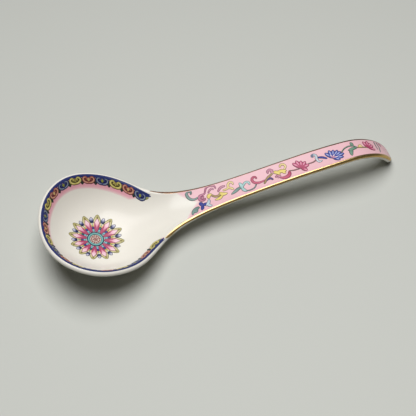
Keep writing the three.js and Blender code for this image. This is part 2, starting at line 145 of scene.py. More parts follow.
key = bpy.data.objects.new("soft_box", bpy.data.lights.new("soft_box", "AREA"))
key.data.shape = "ELLIPSE"
key.data.size = KEY_WIDTH
key.data.size_y = KEY_DEPTH
key.data.energy = KEY_POWER
key.location = KEY_PLACE
key_way = key.location - Vector(KEY_AIM)
key.rotation_euler = key_way.to_track_quat("Z", "Y").to_euler()
scene.collection.objects.link(key)

room = bpy.data.worlds.new("room")
room.use_nodes = True
scene.world = room
fill = room.node_tree.nodes["Background"]
rays = room.node_tree.nodes.new("ShaderNodeLightPath")
tone = room.node_tree.nodes.new("ShaderNodeMixRGB")
tone.inputs["Color1"].default_value = FILL_LIGHT
tone.inputs["Color2"].default_value = ROOM_SEEN
room.node_tree.links.new(rays.outputs["Is Camera Ray"], tone.inputs["Fac"])
mirrored = room.node_tree.nodes.new("ShaderNodeMixRGB")
mirrored.inputs["Color2"].default_value = ROOM_MIRRORED
room.node_tree.links.new(rays.outputs["Is Glossy Ray"], mirrored.inputs["Fac"])
room.node_tree.links.new(tone.outputs["Color"], mirrored.inputs["Color1"])
room.node_tree.links.new(mirrored.outputs["Color"], fill.inputs["Color"])


# China body. Bowl, neck, handle and curled tip are slip-cast and fired in one piece of bone china
# under a clear glaze. Sections sweep from the keel of its hollow up to a rounded edge and back
# underneath, and the foot under the bowl is ground flat and left bare.
MM = 0.001
BOWL_FRONT = 28.4 * MM
BOWL_REAR = 34.1 * MM
BOWL_HALF_WIDTH = 31.9 * MM
FLOOR_CENTRE = -3.5 * MM
NECK_LEAVES_BOWL = 20.1 * MM
NECK_SWEEP = 19.4 * MM
NECK_END = 87 * MM
NECK_RUN_OUT = 51.7 * MM
HANDLE_HALF_WIDTH = 6.05 * MM
HANDLE_WAIST_PULL = 0.75 * MM
HANDLE_PALM_SWELL = 0.55 * MM
TIP_HALF_WIDTH = 3.6 * MM
TIP_ROUNDING = 10 * MM
TIP_SQUARENESS = 0.57
LIP_HEIGHT = 25.7 * MM
LIP_FRONT_SLOPE = 0.2
NECK = 39 * MM
NECK_HEIGHT = 12.5 * MM
NECK_SLOPE = 0.04
CREST = 150.4 * MM
CREST_HEIGHT = 22.2 * MM
CURL_RADIUS = 32.1 * MM
CHANNEL_REACH = 33 * MM
HANDLE_HOLLOW = 0.35 * MM
BOWL_FULLNESS = 2.75
HANDLE_FULLNESS = 2.0
LIP_THICKNESS = 3.05 * MM
FLOOR_THICKNESS = 3.8 * MM
HANDLE_THICKNESS = 4.4 * MM
HANDLE_EDGE = 2.5 * MM
TIP_EDGE = 3.6 * MM
TIP_THICKNESS = 3.6 * MM
WALL_TAPER = 3
GROUND_FOOT = 0.6 * MM

BODY_STEPS = (100, 44, 70, 110, 40)
TOP_STEPS = 40
EDGE_STEPS = 14
PLAN_POINTS = 1001
FLOOR_SEARCH_POINTS = 201
WELD = 1e-7


def mix(a, b, f):
    return a + (b - a) * f


def smooth(f):
    f = np.clip(f, 0, 1)
    return f * f * (3 - 2 * f)


def bezier(points, f):
    a, b, c, d = [np.asarray(p)[:, None] for p in points]
    return (1 - f)**3 * a + 3 * (1 - f)**2 * f * b + 3 * (1 - f) * f**2 * c + f**3 * d


def eased(f, span, z0, slope0, z1, slope1):
    """Height and slope of a side-view line that leaves and arrives at given heights and slopes."""
    z = bezier([[z0], [z0 + slope0 * span / 3], [z1 - slope1 * span / 3], [z1]], np.ravel(f))[0]
    rise = np.diff([z0, z0 + slope0 * span / 3, z1 - slope1 * span / 3, z1]) * 3
    g = 1 - f
    rate = g * g * rise[0] + 2 * g * f * rise[1] + f * f * rise[2]
    return z.reshape(np.shape(f)), np.arctan2(rate, span)


share = np.linspace(0, 1, PLAN_POINTS)
handle_x = mix(NECK, CREST, share)
handle_z, handle_slope = eased(share, CREST - NECK, NECK_HEIGHT, NECK_SLOPE, CREST_HEIGHT, 0)
handle_run = NECK + np.r_[0, np.cumsum(np.hypot(np.diff(handle_x), np.diff(handle_z)))]
crest_run = handle_run[-1]
curl_turn = np.arccos((CURL_RADIUS + TIP_EDGE / 2 - CREST_HEIGHT) / (CURL_RADIUS - TIP_EDGE / 2))
tip_run = crest_run + CURL_RADIUS * curl_turn
tip_centre = tip_run - TIP_ROUNDING


def edge_line(run):
    """Place and slope of the edge in side view; run is X in the bowl, then length along the handle."""
    f = (np.minimum(run, NECK) + BOWL_FRONT) / (NECK + BOWL_FRONT)
    rim_z, rim_slope = eased(f, NECK + BOWL_FRONT, LIP_HEIGHT, LIP_FRONT_SLOPE, NECK_HEIGHT, NECK_SLOPE)
    turn = (run - crest_run) / CURL_RADIUS
    where = [run <= NECK, run <= crest_run]
    x = np.select(where, [run, np.interp(run, handle_run, handle_x)], CREST + CURL_RADIUS * np.sin(turn))
    curl_z = CREST_HEIGHT - CURL_RADIUS * (1 - np.cos(turn))
    z = np.select(where, [rim_z, np.interp(run, handle_run, handle_z)], curl_z)
    slope = np.select(where, [rim_slope, np.interp(run, handle_run, handle_slope)], -turn)
    return np.array([x, z]), slope


def hollow_shape(run):
    return np.exp(-((run - FLOOR_CENTRE) / CHANNEL_REACH) ** 2)


floor_runs = np.linspace(FLOOR_CENTRE, NECK, FLOOR_SEARCH_POINTS)
floor_room = edge_line(floor_runs)[0][1] - HANDLE_HOLLOW - (FLOOR_THICKNESS - GROUND_FOOT)
bowl_depths = floor_room / hollow_shape(floor_runs)
bowl_depth = bowl_depths.min()
foot_x = floor_runs[bowl_depths.argmin()]


def lean(run):
    return edge_line(run)[1] * smooth((run - NECK) / (NECK_END - NECK))


def keel(run):
    """The lowest line of the hollow, in side view."""
    tilt = lean(run)
    return edge_line(run)[0] + (bowl_depth * hollow_shape(run) + HANDLE_HOLLOW) * np.array(
        [np.sin(tilt), -np.cos(tilt)])


def keel_run(run):
    """Where the section that ends at this run of the edge starts on the keel."""
    f = np.clip((run - FLOOR_CENTRE) / (NECK_END - FLOOR_CENTRE), 0, 1)
    swept = FLOOR_CENTRE + (NECK_END - FLOOR_CENTRE) * f * f * (2 - f)
    return np.where(run >= NECK_END, np.minimum(run, tip_centre), swept)


rear_angle = np.arccos(NECK_LEAVES_BOWL / BOWL_REAR)
front_angles = np.pi - share * np.pi / 2
rear_angles = mix(np.pi / 2, rear_angle, share)
bowl_end = np.array([NECK_LEAVES_BOWL, BOWL_HALF_WIDTH * np.sin(rear_angle)])
bowl_way = np.array([BOWL_REAR * np.sin(rear_angle), -BOWL_HALF_WIDTH * np.cos(rear_angle)])
neck_sweep = bowl_end + NECK_SWEEP * bowl_way / np.hypot(*bowl_way)
neck_end = (NECK_END, HANDLE_HALF_WIDTH)
third = (tip_centre - NECK_END) / 3
tip_start = (tip_centre, TIP_HALF_WIDTH)
plan = np.hstack([
    (BOWL_FRONT * np.cos(front_angles), BOWL_HALF_WIDTH * np.sin(front_angles)),
    (BOWL_REAR * np.cos(rear_angles), BOWL_HALF_WIDTH * np.sin(rear_angles)),
    bezier([bowl_end, neck_sweep,
            (NECK_END - NECK_RUN_OUT, HANDLE_HALF_WIDTH + HANDLE_WAIST_PULL), neck_end], share),
    bezier([neck_end, (NECK_END + third, HANDLE_HALF_WIDTH - HANDLE_WAIST_PULL),
            (tip_centre - third, HANDLE_HALF_WIDTH + HANDLE_PALM_SWELL), tip_start], share),
    bezier([tip_start, (mix(tip_centre, tip_run, TIP_SQUARENESS), TIP_HALF_WIDTH),
            (tip_run, TIP_HALF_WIDTH * TIP_SQUARENESS), (tip_run, 0)], share)])
plan_way = np.r_[0, np.cumsum(np.hypot(*np.diff(plan, axis=1)))]
plan_length = plan_way[-1]
plan_t = plan_way / plan_length


def cross(a, b):
    return a[0] * b[1] - a[1] * b[0]


KEEL_STEP = 1e-5


def section(t):
    """One section of the top; t is 0 at the front of the lip and 1 at the tip, and negative on the
    -Y side."""
    t = np.where(np.abs(t) > 1, t - 2 * np.sign(t), t)
    run = np.interp(np.abs(t), plan_t, plan[0])
    start = keel_run(run)
    foot = keel(start)
    along = keel(start + KEEL_STEP) - keel(start - KEEL_STEP)
    along = along / np.hypot(*along)
    tilt = lean(start)
    up = np.array([-np.sin(tilt), np.cos(tilt)])
    reach = edge_line(run)[0] - foot
    turn = cross(along, up)
    return {
        "run": run, "start": start, "half": np.interp(np.abs(t), plan_t, plan[1]),
        "side": np.where(t < 0, -1, 1), "foot": foot, "along": along, "up": up,
        "forward": cross(reach, up) / turn, "rise": cross(along, reach) / turn,
        "fullness": mix(HANDLE_FULLNESS, BOWL_FULLNESS, hollow_shape(start)),
    }


def top(t, v):
    """A point of the top surface; v is 0 on the keel and 1 on the edge."""
    q = section(t)
    x, z = q["foot"] + q["along"] * v * q["forward"] + q["up"] * q["rise"] * v ** q["fullness"]
    return np.stack([x - foot_x, q["side"] * v * q["half"], z], axis=-1)


SLOPE_STEP = 1e-3


def facing(vectors, way):
    """Unit vectors, turned round where they point against the given way."""
    vectors = vectors / np.linalg.norm(vectors, axis=-1, keepdims=True)
    return vectors * np.where((vectors * way).sum(-1, keepdims=True) < 0, -1, 1)


def top_normal(t, v):
    along_keel = section(t)["along"]
    upright = np.stack([-along_keel[1], 0 * v, along_keel[0]], axis=-1)
    inner = np.maximum(v, 2 * SLOPE_STEP)
    across = top(t, inner) - top(t, inner - SLOPE_STEP)
    along = top(t + SLOPE_STEP, inner) - top(t - SLOPE_STEP, inner)
    return np.where(v[..., None] < 2 * SLOPE_STEP, upright, facing(np.cross(along, across), upright))


def wall(t, v):
    """Thickness: thin at the lip, thicker in the floor, thickest along the back of the handle."""
    q = section(t)
    to_handle = smooth((q["run"] - NECK_LEAVES_BOWL) / (NECK_END - NECK_LEAVES_BOWL))
    to_tip = smooth((q["start"] - NECK_END) / (tip_centre - NECK_END))
    back = mix(HANDLE_THICKNESS, TIP_THICKNESS, to_tip)
    spine = mix(FLOOR_THICKNESS, back, smooth((q["start"] - foot_x) / (NECK_END - foot_x)))
    handle_edge = mix(HANDLE_EDGE, TIP_EDGE, smooth((q["run"] - NECK_END) / (tip_centre - NECK_END)))
    return mix(spine, mix(LIP_THICKNESS, handle_edge, to_handle), v ** WALL_TAPER)


def lifted(t, v, lift):
    """A point above the glaze of the top, or below it where the lift is negative."""
    return top(t, v) + top_normal(t, v) * np.asarray(lift)[..., None]


def round_edge(t, turn, lift):
    """A point on the rounded edge; turn 0 is on the top, a half turn on the underside."""
    rim = np.ones_like(t)
    up = top_normal(t, rim)
    along = top(t + SLOPE_STEP, rim) - top(t - SLOPE_STEP, rim)
    out = facing(np.cross(along, up), top(t, rim) - top(t, rim - SLOPE_STEP))
    half = wall(t, rim)[..., None] / 2
    reach = half + np.asarray(lift)[..., None]
    way = up * np.cos(turn)[..., None] + out * np.sin(turn)[..., None]
    return top(t, rim) - up * half + reach * way


def painted_mesh():
    """An empty mesh whose corners can carry a colour."""
    made = bmesh.new()
    made.verts.layers.float_color.new("paint")
    return made


def lay(bm, points, colours):
    """Lays a grid over rows of points, paints it and welds the places that meet."""
    rows, columns = points.shape[:2]
    verts = bmesh.ops.create_grid(bm, x_segments=columns - 1, y_segments=rows - 1, size=1)["verts"]
    paint = bm.verts.layers.float_color["paint"]
    colours = np.broadcast_to(colours, points.shape[:2] + (4,))
    for vert, point, colour in zip(verts, points.reshape(-1, 3), colours.reshape(-1, 4)):
        vert.co = point
        vert[paint] = colour
    bmesh.ops.remove_doubles(bm, verts=verts, dist=WELD)


def place_piece(bm, name, nodes, materials):
    """Turns a mesh into a piece that rides on the spoon and stands for its plain nodes."""
    bmesh.ops.recalc_face_normals(bm, faces=bm.faces)
    mesh = bpy.data.meshes.new(name)
    bm.to_mesh(mesh)
    bm.free()
    for material in materials:
        mesh.materials.append(material)
    made = bpy.data.objects.new(name, mesh)
    scene.collection.objects.link(made)
    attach(made, "root")
    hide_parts(*nodes)
    return made


def srgb(code):
    """A colour of red, green and blue in 0 to 255, as light."""
    c = np.array(code) / 255
    light = np.where(c <= 0.04045, c / 12.92, ((c + 0.055) / 1.055) ** 2.4)
    return np.r_[light, 1]


CHINA = srgb((233, 229, 219))
GLOSS_GRAIN = 2
GLOSS_SPREAD = 0.3
RIPPLE_GRAIN = 3
RIPPLE_STRENGTH = 0.03
RIPPLE_HEIGHT = 0.2 * MM


def coated(name, roughness, shine, mottle, grain, purity=1.0):
    """A glassy ceramic finish over the painted colour, a little uneven in tone, gloss and surface.
    A purity below 1 makes the colour milkier."""
    made = shader(name, IOR=1.5, Specular_IOR_Level=shine)
    principled = made.node_tree.nodes["Principled BSDF"]
    painted = node(made, "ShaderNodeAttribute", attribute_name="paint")
    tone = node(made, "ShaderNodeMixRGB", blend_type="MULTIPLY")
    tone.inputs["Fac"].default_value = 1
    milky = node(made, "ShaderNodeHueSaturation", Saturation=purity)
    link(made, painted.outputs["Color"], milky.inputs["Color"])
    link(made, milky.outputs["Color"], tone.inputs["Color1"])
    link(made, spread(made, noise(made, grain), 1 - mottle, 1 + mottle), tone.inputs["Color2"])
    link(made, tone.outputs["Color"], principled.inputs["Base Color"])
    uneven = noise(made, GLOSS_GRAIN * grain)
    gloss = spread(made, uneven, (1 - GLOSS_SPREAD) * roughness, (1 + GLOSS_SPREAD) * roughness)
    link(made, gloss, principled.inputs["Roughness"])
    ripple = node(made, "ShaderNodeBump", Strength=RIPPLE_STRENGTH, Distance=RIPPLE_HEIGHT)
    link(made, noise(made, RIPPLE_GRAIN * grain), ripple.inputs["Height"])
    link(made, ripple.outputs["Normal"], principled.inputs["Normal"])
    return made


glaze = coated("clear_glaze", roughness=0.16, shine=0.18, mottle=0.012, grain=120)
bare_foot = coated("bare_ground_china", roughness=0.7, shine=0.2, mottle=0.04, grain=900)

plan_ends = plan_t[len(share) - 1::len(share)]
stations = np.unique(np.hstack([
    np.linspace(low, high, steps + 1)
    for low, high, steps in zip(np.r_[0, plan_ends], plan_ends, BODY_STEPS)]))
round_stations = np.r_[stations, 2 - stations[-2::-1]]
t_top, v_top = np.meshgrid(round_stations, np.linspace(0, 1, TOP_STEPS + 1), indexing="ij")
t_edge, turn = np.meshgrid(round_stations, np.linspace(0, np.pi, EDGE_STEPS + 1)[1:-1], indexing="ij")
body_rows = np.hstack([
    top(t_top, v_top), round_edge(t_edge, turn, 0 * turn),
    lifted(t_top, v_top, -wall(t_top, v_top))[:, ::-1]])
bm = painted_mesh()
lay(bm, body_rows, CHINA)
bmesh.ops.bisect_plane(bm, geom=bm.verts[:] + bm.edges[:] + bm.faces[:], plane_co=(0, 0, 0),
                       plane_no=(0, 0, 1), clear_inner=True)
for face in bm.faces:
    face.smooth = True
cut = [edge for edge in bm.edges if edge.is_boundary]
for face in bmesh.ops.holes_fill(bm, edges=cut, sides=0)["faces"]:
    face.material_index = 1
    face.smooth = False
place_piece(bm, "glazed_body", ["china_body"], [glaze, bare_foot])


# Cobalt rim line. A band of blue enamel is painted along the inner round of the lip, from one root of
# the handle round the bowl to the other. It sinks below the edge at the far root, climbs a little
# further round the lip at the near one, and runs out in a point at both.
BORDER_END = 88.5
BORDER_NEAR_END = 85.3
BORDER_LEAVES_EDGE = 72
ROOT_INSET = 2.25
NEAR_ROOT_INSET = -0.7
BORDER_RISE = 1.45
COBALT_WIDTH = 1.95
COBALT_RUN_OUT = 9
COBALT_BLUNTNESS = 0.6
COBALT_POINTS = 121
COBALT_ROWS = 420
ROOT_WEDGE = [(-8, 1.5), (-4, 1.5), (0.2, 0.9)]
WEDGE_HALVES = (0.9, 1.0, 0.9, 0.3)
COBALT_LEVEL = 0.05
WALL_STEPS = 60
BEAD_SIDES = 10
BEAD_RELIEF = 0.05
BEAD_SEAT = 0.02
BEAD_SLENDERNESS = 3
STROKE_ROWS = 18
LEAST_HALF = 1e-6
LEAST_STEP = 1e-9
COBALT = srgb((30, 44, 108))


def on_wall(points, lift):
    """A place inside the bowl by length round the lip from its front and depth below the edge, in
    millimetres. A depth above the edge is measured round the lip."""
    t = points[:, 0] * MM / plan_length
    depth = points[:, 1] * MM
    steps = np.linspace(1, 0, WALL_STEPS + 1)
    gaps = np.linalg.norm(np.diff(top(t[:, None], steps[None, :]), axis=1), axis=2)
    gone = np.hstack([np.zeros((len(t), 1)), np.cumsum(gaps, axis=1)])
    v = np.array([np.interp(d, row, steps) for d, row in zip(depth, gone)])
    turn = np.maximum(-depth, 0) / (wall(t, 1) / 2)
    below = (depth >= 0)[:, None]
    return np.where(below, lifted(t, v, lift * MM), round_edge(t, turn, lift * MM))


def border_top(along):
    """How far below the edge the border starts."""
    leaving = np.clip((np.abs(along) - BORDER_LEAVES_EDGE) / (BORDER_END - BORDER_LEAVES_EDGE), 0, 1)
    inset = np.where(along < 0, NEAR_ROOT_INSET, ROOT_INSET)
    return inset * leaving ** 2 - BORDER_RISE


def on_border(points, lift):
    """A place on the border, with its depth measured from the border's top."""
    return on_wall(np.stack([points[:, 0], points[:, 1] + border_top(points[:, 0])], axis=1), lift)


def drawn(points, shares):
    """A smooth line through a few points, at shares of its length."""
    points = np.asarray(points, float)
    way = np.r_[0, np.cumsum(np.linalg.norm(np.diff(points, axis=0), axis=1))]
    slope = np.gradient(points, way, axis=0)
    at = shares * way[-1]
    k = np.clip(np.searchsorted(way, at, side="right") - 1, 0, len(way) - 2)
    gap = (way[k + 1] - way[k])[:, None]
    f = (at - way[k])[:, None] / gap
    g = 1 - f
    start = (1 + 2 * f) * g * g * points[k] + f * g * g * gap * slope[k]
    end = f * f * (1 + 2 * g) * points[k + 1] - f * f * g * gap * slope[k + 1]
    return start + end, way[-1]


def along_stroke(values, shares):
    """Values given at even steps along a stroke, at shares of its length."""
    values = np.asarray(values, float)
    steps = np.linspace(0, 1, len(values))
    if values.ndim == 1:
        return np.interp(shares, steps, values)
    return np.stack([np.interp(shares, steps, column) for column in values.T], axis=1)


def stroke(bm, place, line, halves, colours, level, rows=STROKE_ROWS, sides=BEAD_SIDES):
    """One brush stroke of enamel: a low bead with rounded ends, as wide as its half widths say."""
    shares = (1 - np.cos(np.pi * np.linspace(0, 1, rows))) / 2
    closed = np.allclose(line[0], line[-1])
    if closed:
        shares = np.linspace(0, 1, rows)
    middle, length = drawn(line, shares)
    ahead = np.gradient(middle, axis=0)
    if closed:
        ahead[0] = ahead[-1] = middle[1] - middle[-2]
    ahead = ahead / np.maximum(np.linalg.norm(ahead, axis=1, keepdims=True), LEAST_STEP)
    half = along_stroke(halves, shares)
    if not closed:
        from_end = np.minimum(shares, 1 - shares) * length
        half = half * np.sqrt(1 - np.clip(1 - from_end / np.maximum(half, LEAST_HALF), 0, 1) ** 2)
    turn = np.linspace(0, 2 * np.pi, sides + 1)
    across = np.stack([-ahead[:, 1], ahead[:, 0]], axis=1)
    spots = middle[:, None] + across[:, None] * (half[:, None] * np.cos(turn))[..., None]
    plump = half[:, None] / half.max()
    rise = min(BEAD_RELIEF, half.max() / BEAD_SLENDERNESS) * np.maximum(np.sin(turn), 0)
    sink = (level + BEAD_SEAT) * np.minimum(np.sin(turn), 0)
    lift = level + plump * (rise + sink)
    points = place(spots.reshape(-1, 2), lift.reshape(-1)).reshape(rows, sides + 1, 3)
    paint = np.asarray(colours) if np.ndim(colours) == 2 else np.array([colours, colours])
    lay(bm, points, along_stroke(paint, shares)[:, None])


def place_enamel(bm, name, nodes, material):
    """An enamel piece, shaded smooth all over."""
    for face in bm.faces:
        face.smooth = True
    return place_piece(bm, name, nodes, [material])


enamel = coated("fired_enamel", roughness=0.35, shine=0.2, mottle=0.1, grain=1500, purity=0.9)

border_steps = np.linspace(-BORDER_NEAR_END, BORDER_END, COBALT_POINTS)
to_end = np.minimum(BORDER_END - border_steps, BORDER_NEAR_END + border_steps)
cobalt_half = COBALT_WIDTH / 2 * np.clip(to_end / COBALT_RUN_OUT, 0, 1) ** COBALT_BLUNTNESS
cobalt_line = np.stack([border_steps, cobalt_half], axis=1)
bm = painted_mesh()
stroke(bm, on_border, cobalt_line, cobalt_half, COBALT, COBALT_LEVEL, COBALT_ROWS)
for side, end in ((-1, BORDER_NEAR_END), (1, BORDER_END)):
    wedge = np.array(ROOT_WEDGE) * (side, 1) + (side * end, 0)
    stroke(bm, on_border, wedge, WEDGE_HALVES, COBALT, COBALT_LEVEL - BEAD_SEAT)
place_enamel(bm, "cobalt_line", ["cobalt_rim_line"], enamel)


# Border blush. Below the cloud heads the painter washed on thin pink, deepest under the heads, and
# drew it out with a dry brush until it fades into the white of the china. It is narrower and paler
# on the near side of the bowl.
BLUSH_TOP = 1.2
BLUSH_FOOT = 9.8
BLUSH_FULL = 6.8
NEAR_BLUSH = 0.64
NEAR_PALE = 0.45
BLUSH_NARROWS_FROM = 25
BLUSH_NARROWS = 45
BLUSH_ENDS = (75, 86)
BLUSH_END_SHARE = 0.25
BLUSH_LEVEL = 0.015
BLUSH_ROWS = 260
BLUSH_COLUMNS = 16
BLUSH_SOFT_COLUMNS = 3
BLUSH = srgb((230, 168, 180))


def wash(bm, points_at, colours, rows, columns, level,
         soft_rows=1, soft_columns=1, last_row_sunk=True):
    """A thin coat with a skin above and below, which meet where its border sinks into the glaze. It
    can thin out over its first rows and last columns."""
    f, g = np.meshgrid(np.linspace(0, 1, rows), np.linspace(0, 1, columns), indexing="ij")
    full = np.minimum(f * (rows - 1) / soft_rows, (1 - g) * (columns - 1) / soft_columns)
    lift = mix(-BEAD_SEAT, level, np.clip(full, 0, 1))
    lift[:, 0] = -BEAD_SEAT
    if last_row_sunk:
        lift[-1] = -BEAD_SEAT
    above = points_at(f, g, lift)
    below = points_at(f, g, -BEAD_SEAT + 0 * g)
    points = np.concatenate([above, below[:, ::-1]], axis=1)
    paint = colours(f, g)
    lay(bm, points, np.concatenate([paint, paint[:, ::-1]], axis=1))


def blush_near(along):
    """0 on the far side of the bowl and 1 on the near side, where the wash was drawn out thinner."""
    return smooth((BLUSH_NARROWS_FROM - along) / BLUSH_NARROWS)


def blush_depth(along, g):
    narrow = 1 - smooth((np.abs(along) - BLUSH_ENDS[0]) / (BLUSH_ENDS[1] - BLUSH_ENDS[0]))
    reach = (BLUSH_FOOT - BLUSH_TOP) * mix(1, NEAR_BLUSH, blush_near(along))
    return BLUSH_TOP + reach * g * mix(BLUSH_END_SHARE, 1, narrow)


def blush_place(f, g, lift):
    along = mix(-BLUSH_ENDS[1], BLUSH_ENDS[1], f)
    spots = np.stack([along, blush_depth(along, g)], axis=-1)
    return on_border(spots.reshape(-1, 2), lift.reshape(-1)).reshape(f.shape + (3,))


def blush_colour(f, g):
    full = (BLUSH_FULL - BLUSH_TOP) / (BLUSH_FOOT - BLUSH_TOP)
    fade = smooth((g - full) / (1 - full))
    pale = NEAR_PALE * blush_near(mix(-BLUSH_ENDS[1], BLUSH_ENDS[1], f))
    return mix(BLUSH, CHINA, mix(fade, 1, pale)[..., None])


pink_wash = coated("pink_wash", roughness=0.3, shine=0.2, mottle=0.03, grain=260)
bm = painted_mesh()
wash(bm, blush_place, blush_colour, BLUSH_ROWS, BLUSH_COLUMNS, BLUSH_LEVEL,
     soft_columns=BLUSH_SOFT_COLUMNS)
place_enamel(bm, "pink_blush", ["border_blush"], pink_wash)


# Cloud heads. Under the cobalt line hang curled cloud heads, painted in turn blue, red and yellow.
# Each has two scrolls that meet in a point below and an eye between them, outlined with a fine brush,
# a dark green drop hangs in each gap, and an olive leaf closes the row at each root.
FIRST_HEAD = 82.4
HEAD_PITCH = 7.6
HEAD_PITCH_GROWS = 0.0235
HEAD_COUNT = 21
HEAD_TOP = 1.4
HEAD_LEVEL = 0.08
OUTLINE = 0.26
SCROLL = [(0.2, 3.8), (-1.7, 3.5), (-3.0, 2.3), (-2.75, 0.7), (-1.5, 0.3), (-0.75, 1.2), (-1.6, 1.9)]
SCROLL_HALVES = (0.45, 0.58, 0.6, 0.56, 0.5, 0.42, 0.36)
SCROLL_STRIPE = [(-0.3, 3.75), (-1.8, 3.4), (-2.95, 2.2), (-2.7, 0.75), (-1.5, 0.4)]
STRIPE_HALVES = (0.14, 0.26, 0.3, 0.26, 0.14)
HEAD_FILL = [(-2.6, 1.7), (0, 2.4), (2.6, 1.7)]
FILL_HALVES = (1.1, 1.5, 1.1)
EYE_DAB = [(0, 0.9), (0, 2.9)]
EYE_HALVES = (0.5, 0.8, 0.7, 0.2)
DROP = [(0, 0.8), (0, 4.9)]
DROP_HALVES = (0.4, 0.55, 0.9, 1.0, 0.3)
ROOT_LEAF = [(-3.6, 4.1), (-2.2, 3.0), (-0.7, 1.9)]
ROOT_LEAF_HALVES = (0.2, 0.8, 0.7, 0.1)
DROP_GREEN = srgb((48, 58, 52))
ROOT_LEAF_GREEN = srgb((138, 140, 72))
HEAD_COLOURS = [
    ("cloud_blue", srgb((20, 28, 84)), srgb((50, 62, 122)), srgb((136, 148, 156)), srgb((136, 142, 52))),
    ("cloud_red", srgb((98, 40, 40)), srgb((168, 88, 72)), srgb((212, 156, 122)), srgb((204, 166, 100))),
    ("cloud_yellow", srgb((82, 76, 36)), srgb((192, 178, 78)), srgb((216, 203, 116)),
     srgb((158, 144, 66))),
]


def outlined(bm, place, line, halves, outline, colours, level, width=OUTLINE, rows=STROKE_ROWS):
    """A stroke laid over a slightly larger one in the colour of its outline."""
    line = np.asarray(line, float)
    ends = np.array([line[0] - line[1], line[-1] - line[-2]])
    ends = ends / np.linalg.norm(ends, axis=1, keepdims=True) * width
    longer = np.vstack([line[0] + ends[0], line[1:-1], line[-1] + ends[1]])
    stroke(bm, place, longer, np.asarray(halves) + width, outline, level, rows)
    stroke(bm, place, line, halves, colours, level + BEAD_RELIEF, rows)


def head_place(k):
    """Middle of a cloud head, counted from the +Y root."""
    return FIRST_HEAD - HEAD_PITCH * k - HEAD_PITCH_GROWS * k * k


for k in range(HEAD_COUNT):
    slot, outline, body, stripe, eye = HEAD_COLOURS[k % len(HEAD_COLOURS)]
    middle = np.array([head_place(k), HEAD_TOP])
    bm = painted_mesh()
    stroke(bm, on_border, np.array(HEAD_FILL) + middle, FILL_HALVES, outline, HEAD_LEVEL - BEAD_SEAT)
    for side in (-1, 1):
        scroll = np.array(SCROLL) * (side, 1) + middle
        outlined(bm, on_border, scroll, SCROLL_HALVES, outline, body, HEAD_LEVEL)
        highlight = np.array(SCROLL_STRIPE) * (side, 1) + middle
        stroke(bm, on_border, highlight, STRIPE_HALVES, stripe, HEAD_LEVEL + 2 * BEAD_RELIEF)
    eye_line = np.array(EYE_DAB) + middle
    outlined(bm, on_border, eye_line, EYE_HALVES, outline, eye, HEAD_LEVEL + BEAD_RELIEF)
    place_enamel(bm, f"cloud_head_{k + 1:02d}_enamel", [f"cloud_head_{k + 1:02d}"], enamel)

bm = painted_mesh()
for k in range(HEAD_COUNT - 1):
    middle = np.array([(head_place(k) + head_place(k + 1)) / 2, HEAD_TOP])
    stroke(bm, on_border, np.array(DROP) + middle, DROP_HALVES, DROP_GREEN, HEAD_LEVEL - BEAD_SEAT)
for side, end in ((-1, BORDER_NEAR_END), (1, BORDER_END)):
    leaf = np.array(ROOT_LEAF) * (side, 1) + (side * end, 0)
    stroke(bm, on_border, leaf, ROOT_LEAF_HALVES, ROOT_LEAF_GREEN, HEAD_LEVEL - BEAD_SEAT)
place_enamel(bm, "border_drops", [], enamel)


# Lotus rosette. On the bowl's floor a twelve-petalled lotus is painted in plan: crimson petals that
# pale to pink inside larger olive-tipped ones, buds on stems between them, a turquoise ring and a
# beaded seed head. Its strokes are drawn in millimetres from the flower's centre.
PETAL_COUNT = 12
FIRST_PETAL = math.radians(10)
ROSETTE_SHIFT = np.array((1.7, 0.05))
ROSETTE_SIZE = 0.95
ROSETTE_LEVEL = 0.03
NEWTON_ROUNDS = 8
NEWTON_STEP = 1e-4
LEAST_RADIUS = 0.02
FIRST_GUESS = (0.02, 0.37)
PETALS_START = 5.3
PETALS_LEAN = 0.09
OUTER_PETAL = [(9.5, 0), (13, 0), (16, 0)]
OUTER_HALVES = (1.2, 1.8, 2.1, 2.05, 1.65, 1.1, 0.55)
TIP_DAB = [(13.6, 0), (15.2, 0)]
TIP_DAB_HALVES = (0.2, 0.55, 0.35)
INNER_PETAL = [(5.3, 0), (9.5, 0), (13.7, 0)]
INNER_HALVES = (0.55, 0.95, 1.35, 1.7, 1.8, 1.4, 0.75, 0.15)
PETAL_SIDE = [(5.5, 0.25), (8.0, 0.75), (11.2, 1.35)]
PETAL_SIDE_HALVES = (0.45, 0.55, 0.45, 0.1)
BUD = [(11.4, 0), (14.6, 0)]
BUD_HALVES = (0.6, 0.98, 0.85, 0.25)
BUD_STEM = [(7.4, 0), (11.8, 0)]
STEM_HALVES = (0.16, 0.16)
BUD_LEAF = [(8.7, 0.2), (9.8, 0.85), (11.1, 1.0)]
BUD_LEAF_HALVES = (0.2, 0.5, 0.2)
BASE_DAB = [(5.6, 0), (7.2, 0)]
BASE_DAB_HALVES = (0.55, 0.62, 0.5)
BASE_EYE = [(7.5, 0), (8.1, 0), (8.7, 0)]
BASE_EYE_HALVES = (0.6, 0.65, 0.6)
RING_LINES = [
    (4.75, 0.36, srgb((22, 60, 84))),
    (4.0, 0.52, srgb((108, 172, 170))),
    (3.4, 0.2, srgb((52, 100, 100)))]
RING_POINTS = 49
RING_ROWS = 97
RING_LEVEL = ROSETTE_LEVEL + 4 * BEAD_RELIEF
SEED_DISC = 3.2
SEED_DISC_STEPS = 24
BEAD_ROWS = 10
BEAD_LINE = 0.14
SEED_RINGS = [(0, 1, 0.5), (1.2, 6, 0.4), (2.4, 12, 0.42)]
OLIVE_TIP = [
    srgb((234, 226, 200)), srgb((222, 212, 166)), srgb((200, 190, 130)), srgb((178, 168, 104))]
OLIVE_LINE = srgb((128, 120, 62))
PETAL_PALE = [
    srgb((178, 58, 100)), srgb((204, 92, 132)), srgb((236, 186, 202)), srgb((240, 216, 222))]
ROSE_LINE = srgb((158, 48, 88))
